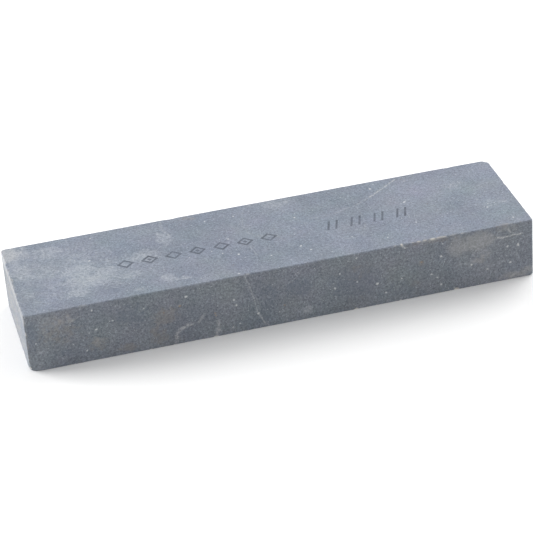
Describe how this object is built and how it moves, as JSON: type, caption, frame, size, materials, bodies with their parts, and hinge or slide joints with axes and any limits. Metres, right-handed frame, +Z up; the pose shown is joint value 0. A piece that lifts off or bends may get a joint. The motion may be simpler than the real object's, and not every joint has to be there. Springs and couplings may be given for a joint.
{
  "type": "sharpening whetstone",
  "caption": "Rectangular block of fine natural stone with flat lapped faces, for honing carving knives, gouges and chisels.",
  "frame": {"origin": "middle of the bottom face", "axes": "+X along the length, +Y across the width from the near long side to the far one, +Z up out of the marked honing face"},
  "size_m": [0.15, 0.04, 0.0185],
  "materials": {
    "stone": "matte",
    "ink": "matte"
  },
  "bodies": {
    "root": {"stone": "stone", "grit_mark": "ink", "grade_mark": "ink"}
  },
  "joints": []
}
